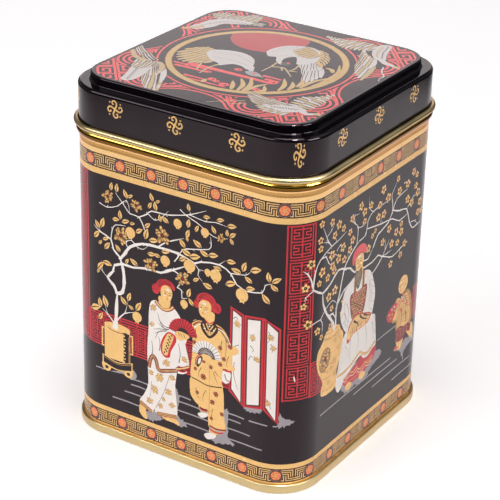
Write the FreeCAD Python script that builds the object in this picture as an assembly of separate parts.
"""Square slip-lid tea caddy: printed tinplate body, double-seamed base and stepped lid.

Millimetres, +Z up. The origin is the centre of the base rim, on the surface the caddy stands on.
Every sheet piece is drawn as a centre line that is thickened to the sheet, in a section plane
where 'off' is the distance outward from the body wall's outer face and 'z' is the height.
"""
import FreeCAD, Part
import math
import os

# ---- Driving dimensions ------------------------------------------------------------------
BODY_WIDTH = 75.0          # across the flats of the body wall
CORNER_RADIUS = 12.2       # outer corner radius of the body wall
SHEET = 0.25               # tinplate thickness
LAP_GAP = 0.03             # air between the folded layers of a seam

SEAM_HEIGHT = 2.6          # height of the double seam round the base
SEAM_CHUCK_GAP = 0.03      # air between the chuck wall and the body wall
BODY_HOOK = 1.45           # top of the body's turned-up hook above the base rim
COVER_HOOK = 1.15          # lowest point of the base end's turned-down hook
COMPOUND_LOW = 1.49        # foot of the sealing compound, just above the body's hook
COMPOUND_HIGH = 2.25       # top of the compound, in the curve of the base end's hook
COUNTERSINK = 3.2          # depth of the base panel above the rim
PANEL_STEP_INSET = 9.0     # from the body wall to the step in the base panel
PANEL_STEP_DROP = 0.7      # how far the middle of the base panel lies below its border
PANEL_STEP_RUN = 1.5       # width of the step
PANEL_STEP_BEND = 0.5      # bends of the step, on the centre line
CHUCK_BEND = 0.6           # bend from the base panel down into its wall
RIM_BEND = 0.4             # bends at the foot of the seam, on the centre line

BEAD_HEIGHT = 89.15        # middle of the outward bead that the lid rests on
BEAD_OUT = 0.9             # how far the bead stands out of the wall
BEAD_RADIUS = 1.3          # outer radius of the bead's round
BEAD_FLANK = 65.0          # degrees that each flank of the bead leans out from the wall
BEAD_FOOT_RADIUS = 0.38    # bend where each flank leaves the wall
NECK_IN = 0.3              # how far the neck above the bead is set in from the wall
NECK_TOP = 101.0           # top of the neck's hem
HEM_DROP = 3.0             # how far the hem folds down inside the neck
SIDE_SEAM_WIDTH = 4.0      # width of the locked seam down the inside of the back wall
SIDE_SEAM_DEPTH = 0.5      # extra thickness of its folded layers
SIDE_SEAM_LOW = 4.2        # lower end of those layers, clear of the base end
SIDE_SEAM_HIGH = 86.6      # upper end, below the bead

LID_CURL_RADIUS = 0.78     # outer radius of the rolled rim of the lid
LID_CURL_HEIGHT = 91.05    # height of the roll's centre
LID_CURL_LIP = 0.3         # from the lid wall's centre line to the roll's turned-in edge
LID_WALL_OUT = 0.15        # lid wall's outer face, from the body wall's outer face
LEDGE_HEIGHT = 102.05      # top of the ledge round the raised panel
SHOULDER_RADIUS = 0.95     # outer radius of the lid's shoulder
PANEL_EDGE_IN = 3.3        # raised panel's edge, in from the body wall's outer face
RISER_FOOT_IN = 3.0        # foot of the riser, in from the body wall's outer face
TOTAL_HEIGHT = 104.4       # top of the raised panel
PANEL_EDGE_RADIUS = 0.55   # outer radius of the raised panel's edge
PANEL_MARGIN = 2.5         # border of the raised panel that is drawn with the riser
RISER_FOOT_BEND = 0.45     # bend at the foot of the riser, on the centre line
LIP_BEND = 0.26            # bend of the roll's turned-in edge, on the centre line

# ---- Derived values ----------------------------------------------------------------------
HALF = BODY_WIDTH / 2
HALF_FLAT = HALF - CORNER_RADIUS
HALF_SHEET = SHEET / 2
WALL_LINE = -HALF_SHEET                              # centre line of the body wall
CHUCK_LINE = WALL_LINE - SHEET - SEAM_CHUCK_GAP      # base end's wall inside the body
COVER_LINE = WALL_LINE + SHEET + LAP_GAP             # base end's hook outside the body wall
HOOK_LINE = COVER_LINE + SHEET + LAP_GAP             # body's hook outside that
SEAM_LINE = HOOK_LINE + SHEET + LAP_GAP              # base end's outer seam wall
UP = FreeCAD.Vector(0, 0, 1)
NEARLY = 0.999                                       # keeps two bends that meet from touching


# ---- Section drawing ---------------------------------------------------------------------
def sheet_face(points, thickness=SHEET):
    """Closed face of a sheet whose centre line runs through points (off, z, bend radius).

    Bends are arcs of the given centre line radius; the end points' radii are ignored.
    """
    left = offset_chain(points, thickness / 2)
    right = offset_chain(points, -thickness / 2)
    edges = chain_edges(left) + chain_edges(right)
    edges.append(Part.makeLine(last_point(left), last_point(right)))
    edges.append(Part.makeLine(first_point(right), first_point(left)))
    wire = Part.Wire(Part.__sortEdges__(edges))
    return Part.Face(wire)


def offset_chain(points, shift):
    """The centre line moved sideways by shift: a list of point triples (arcs) and single points."""
    chain = []
    count = len(points)
    for index, (off, z, radius) in enumerate(points):
        here = FreeCAD.Vector(off, 0, z)
        if index == 0 or index == count - 1:
            other = points[1] if index == 0 else points[count - 2]
            away = FreeCAD.Vector(other[0], 0, other[1]) - here
            heading = away.normalize() if index == 0 else away.normalize() * -1
            chain.append([here + left_of(heading) * shift])
            continue
        before = FreeCAD.Vector(points[index - 1][0], 0, points[index - 1][1])
        after = FreeCAD.Vector(points[index + 1][0], 0, points[index + 1][1])
        heading_in = (here - before).normalize()
        heading_out = (after - here).normalize()
        turn = math.atan2(
            heading_in.x * heading_out.z - heading_in.z * heading_out.x, heading_in.dot(heading_out)
        )
        side = 1 if turn > 0 else -1
        reach = radius * math.tan(abs(turn) / 2)
        start = here - heading_in * reach
        end = here + heading_out * reach
        centre = start + left_of(heading_in) * (side * radius)
        middle = (here - centre).normalize() * (radius - side * shift) + centre
        chain.append([start + left_of(heading_in) * shift, middle, end + left_of(heading_out) * shift])
    return chain


def left_of(heading):
    """The direction a quarter turn to the left of a heading in the section plane."""
    return FreeCAD.Vector(-heading.z, 0, heading.x)


def chain_edges(chain):
    """Lines and arcs that join a chain's points, moved to the +X side of the caddy."""
    place = FreeCAD.Vector(HALF, 0, 0)
    edges = []
    at = None
    for item in chain:
        if at is not None and (item[0] - at).Length > 1e-6:
            edges.append(Part.makeLine(at + place, item[0] + place))
        if len(item) == 3:
            edges.append(Part.Arc(item[0] + place, item[1] + place, item[2] + place).toShape())
        at = item[-1]
    return edges


def first_point(chain):
    return chain[0][0] + FreeCAD.Vector(HALF, 0, 0)


def last_point(chain):
    return chain[-1][-1] + FreeCAD.Vector(HALF, 0, 0)


# ---- Sweeping and plates -----------------------------------------------------------------
def swept_ring(face):
    """A section carried once round the rounded square: four straight runs and four corners."""
    pieces = []
    run = face.copy()
    run.translate(FreeCAD.Vector(0, -HALF_FLAT, 0))
    straight = run.extrude(FreeCAD.Vector(0, 2 * HALF_FLAT, 0))
    corner_face = face.copy()
    corner_face.translate(FreeCAD.Vector(0, HALF_FLAT, 0))
    corner = corner_face.revolve(FreeCAD.Vector(HALF_FLAT, HALF_FLAT, 0), UP, 90)
    for quarter in range(4):
        for piece in (straight, corner):
            turned = piece.copy()
            turned.rotate(FreeCAD.Vector(0, 0, 0), UP, 90 * quarter)
            pieces.append(turned)
    return pieces


def rounded_plate(off, z_low, z_high):
    """A flat plate with the caddy's rounded square outline, off outward from the body wall."""
    half = HALF + off
    radius = CORNER_RADIUS + off
    flat = HALF_FLAT
    diagonal = radius * math.sqrt(0.5)
    edges = []
    for quarter in range(4):
        turn = FreeCAD.Rotation(UP, 90 * quarter)
        side_start = turn.multVec(FreeCAD.Vector(half, -flat, z_low))
        side_end = turn.multVec(FreeCAD.Vector(half, flat, z_low))
        corner_mid = turn.multVec(FreeCAD.Vector(flat + diagonal, flat + diagonal, z_low))
        corner_end = turn.multVec(FreeCAD.Vector(flat, half, z_low))
        edges.append(Part.makeLine(side_start, side_end))
        edges.append(Part.Arc(side_end, corner_mid, corner_end).toShape())
    plate = Part.Face(Part.Wire(edges))
    return plate.extrude(FreeCAD.Vector(0, 0, z_high - z_low))


def one_solid(pieces):
    """Join touching pieces into a single solid with no leftover seams."""
    joined = pieces[0].fuse(pieces[1:])
    return joined.removeSplitter()


def export(name, shape):
    """Write one named piece and print a short summary of it."""
    box = shape.BoundBox
    print(
        "%-14s solids %d valid %s volume %.1f mm3 box %.2f %.2f %.2f to %.2f %.2f %.2f"
        % (name, len(shape.Solids), shape.isValid(), shape.Volume,
           box.XMin, box.YMin, box.ZMin, box.XMax, box.YMax, box.ZMax)
    )
    shape.exportStep("parts/%s.step" % name)


# ---- Body shell --------------------------------------------------------------------------
def body_shell():
    """One sheet: hook at the base seam, tall printed wall, outward bead, neck and folded hem."""
    hook_bend = (HOOK_LINE - WALL_LINE) / 2
    hook_floor = SHEET + LAP_GAP + HALF_SHEET
    bead_line = BEAD_OUT - HALF_SHEET
    bead_bend = BEAD_RADIUS - HALF_SHEET
    neck_line = WALL_LINE - NECK_IN
    hem_line = neck_line - SHEET - LAP_GAP
    hem_bend = (neck_line - hem_line) / 2
    hem_crown = NECK_TOP - HALF_SHEET
    flank = math.radians(BEAD_FLANK)
    crown = bead_bend * math.tan(flank / 2)
    bead_foot = BEAD_HEIGHT - crown - (bead_line - WALL_LINE) / math.tan(flank)
    bead_head = BEAD_HEIGHT + crown + (bead_line - neck_line) / math.tan(flank)
    outline = [
        (HOOK_LINE, BODY_HOOK, 0),
        (HOOK_LINE, hook_floor, hook_bend * NEARLY),
        (WALL_LINE, hook_floor, hook_bend * NEARLY),
        (WALL_LINE, bead_foot, BEAD_FOOT_RADIUS),
        (bead_line, BEAD_HEIGHT - crown, bead_bend * NEARLY),
        (bead_line, BEAD_HEIGHT + crown, bead_bend * NEARLY),
        (neck_line, bead_head, BEAD_FOOT_RADIUS),
        (neck_line, hem_crown, hem_bend * NEARLY),
        (hem_line, hem_crown, hem_bend * NEARLY),
        (hem_line, NECK_TOP - HEM_DROP, 0),
    ]
    side_seam = Part.makeBox(
        SIDE_SEAM_WIDTH, SIDE_SEAM_DEPTH + HALF_SHEET, SIDE_SEAM_HIGH - SIDE_SEAM_LOW,
        FreeCAD.Vector(-SIDE_SEAM_WIDTH / 2, HALF - SHEET - SIDE_SEAM_DEPTH, SIDE_SEAM_LOW),
    )
    return one_solid(swept_ring(sheet_face(outline)) + [side_seam])


# ---- Base end ----------------------------------------------------------------------------
def base_end():
    """Recessed bottom panel whose rim folds round the body's hook as a double seam."""
    cover_bend = (SEAM_LINE - COVER_LINE) / 2
    panel_line = COUNTERSINK + HALF_SHEET
    step_line = -PANEL_STEP_INSET
    panel_edge = step_line - PANEL_STEP_RUN
    low = COUNTERSINK - PANEL_STEP_DROP
    outline = [
        (panel_edge, low + HALF_SHEET, 0),
        (step_line - PANEL_STEP_RUN / 3, low + HALF_SHEET, PANEL_STEP_BEND),
        (step_line + PANEL_STEP_RUN / 3, panel_line, PANEL_STEP_BEND),
        (CHUCK_LINE, panel_line, CHUCK_BEND),
        (CHUCK_LINE, HALF_SHEET, RIM_BEND),
        (SEAM_LINE, HALF_SHEET, RIM_BEND),
        (SEAM_LINE, SEAM_HEIGHT - HALF_SHEET, cover_bend * NEARLY),
        (COVER_LINE, SEAM_HEIGHT - HALF_SHEET, cover_bend * NEARLY),
        (COVER_LINE, COVER_HOOK, 0),
    ]
    panel = rounded_plate(panel_edge, low, low + SHEET)
    return one_solid(swept_ring(sheet_face(outline)) + [panel])


# ---- Seam compound -----------------------------------------------------------------------
def seam_compound():
    """Ring of sealing compound that fills the curve of the base end's hook."""
    outline = [(HOOK_LINE, COMPOUND_LOW, 0), (HOOK_LINE, COMPOUND_HIGH, 0)]
    return one_solid(swept_ring(sheet_face(outline)))


# ---- Lid shell ---------------------------------------------------------------------------
def lid_shell():
    """One drawn sheet: rolled rim, side wall, ledge, riser and raised top panel."""
    wall_line = LID_WALL_OUT - HALF_SHEET
    ledge_line = LEDGE_HEIGHT - HALF_SHEET
    top_line = TOTAL_HEIGHT - HALF_SHEET
    roll_bend = LID_CURL_RADIUS - HALF_SHEET
    roll_low = LID_CURL_HEIGHT - roll_bend
    roll_high = LID_CURL_HEIGHT + roll_bend
    roll_out = wall_line + 2 * roll_bend
    lip_line = wall_line + LID_CURL_LIP
    panel_edge = -PANEL_EDGE_IN - PANEL_MARGIN
    outline = [
        (lip_line, roll_high - 2 * LIP_BEND, 0),
        (lip_line, roll_high, LIP_BEND),
        (roll_out, roll_high, roll_bend * NEARLY),
        (roll_out, roll_low, roll_bend * NEARLY),
        (wall_line, roll_low, roll_bend * NEARLY),
        (wall_line, ledge_line, SHOULDER_RADIUS - HALF_SHEET),
        (-RISER_FOOT_IN, ledge_line, RISER_FOOT_BEND),
        (-PANEL_EDGE_IN - HALF_SHEET, top_line, PANEL_EDGE_RADIUS - HALF_SHEET),
        (panel_edge, top_line, 0),
    ]
    panel = rounded_plate(panel_edge, TOTAL_HEIGHT - SHEET, TOTAL_HEIGHT)
    return one_solid(swept_ring(sheet_face(outline)) + [panel])


# ---- Build -------------------------------------------------------------------------------
os.makedirs("parts", exist_ok=True)
export("body_shell", body_shell())
export("base_end", base_end())
export("seam_compound", seam_compound())
export("lid_shell", lid_shell())
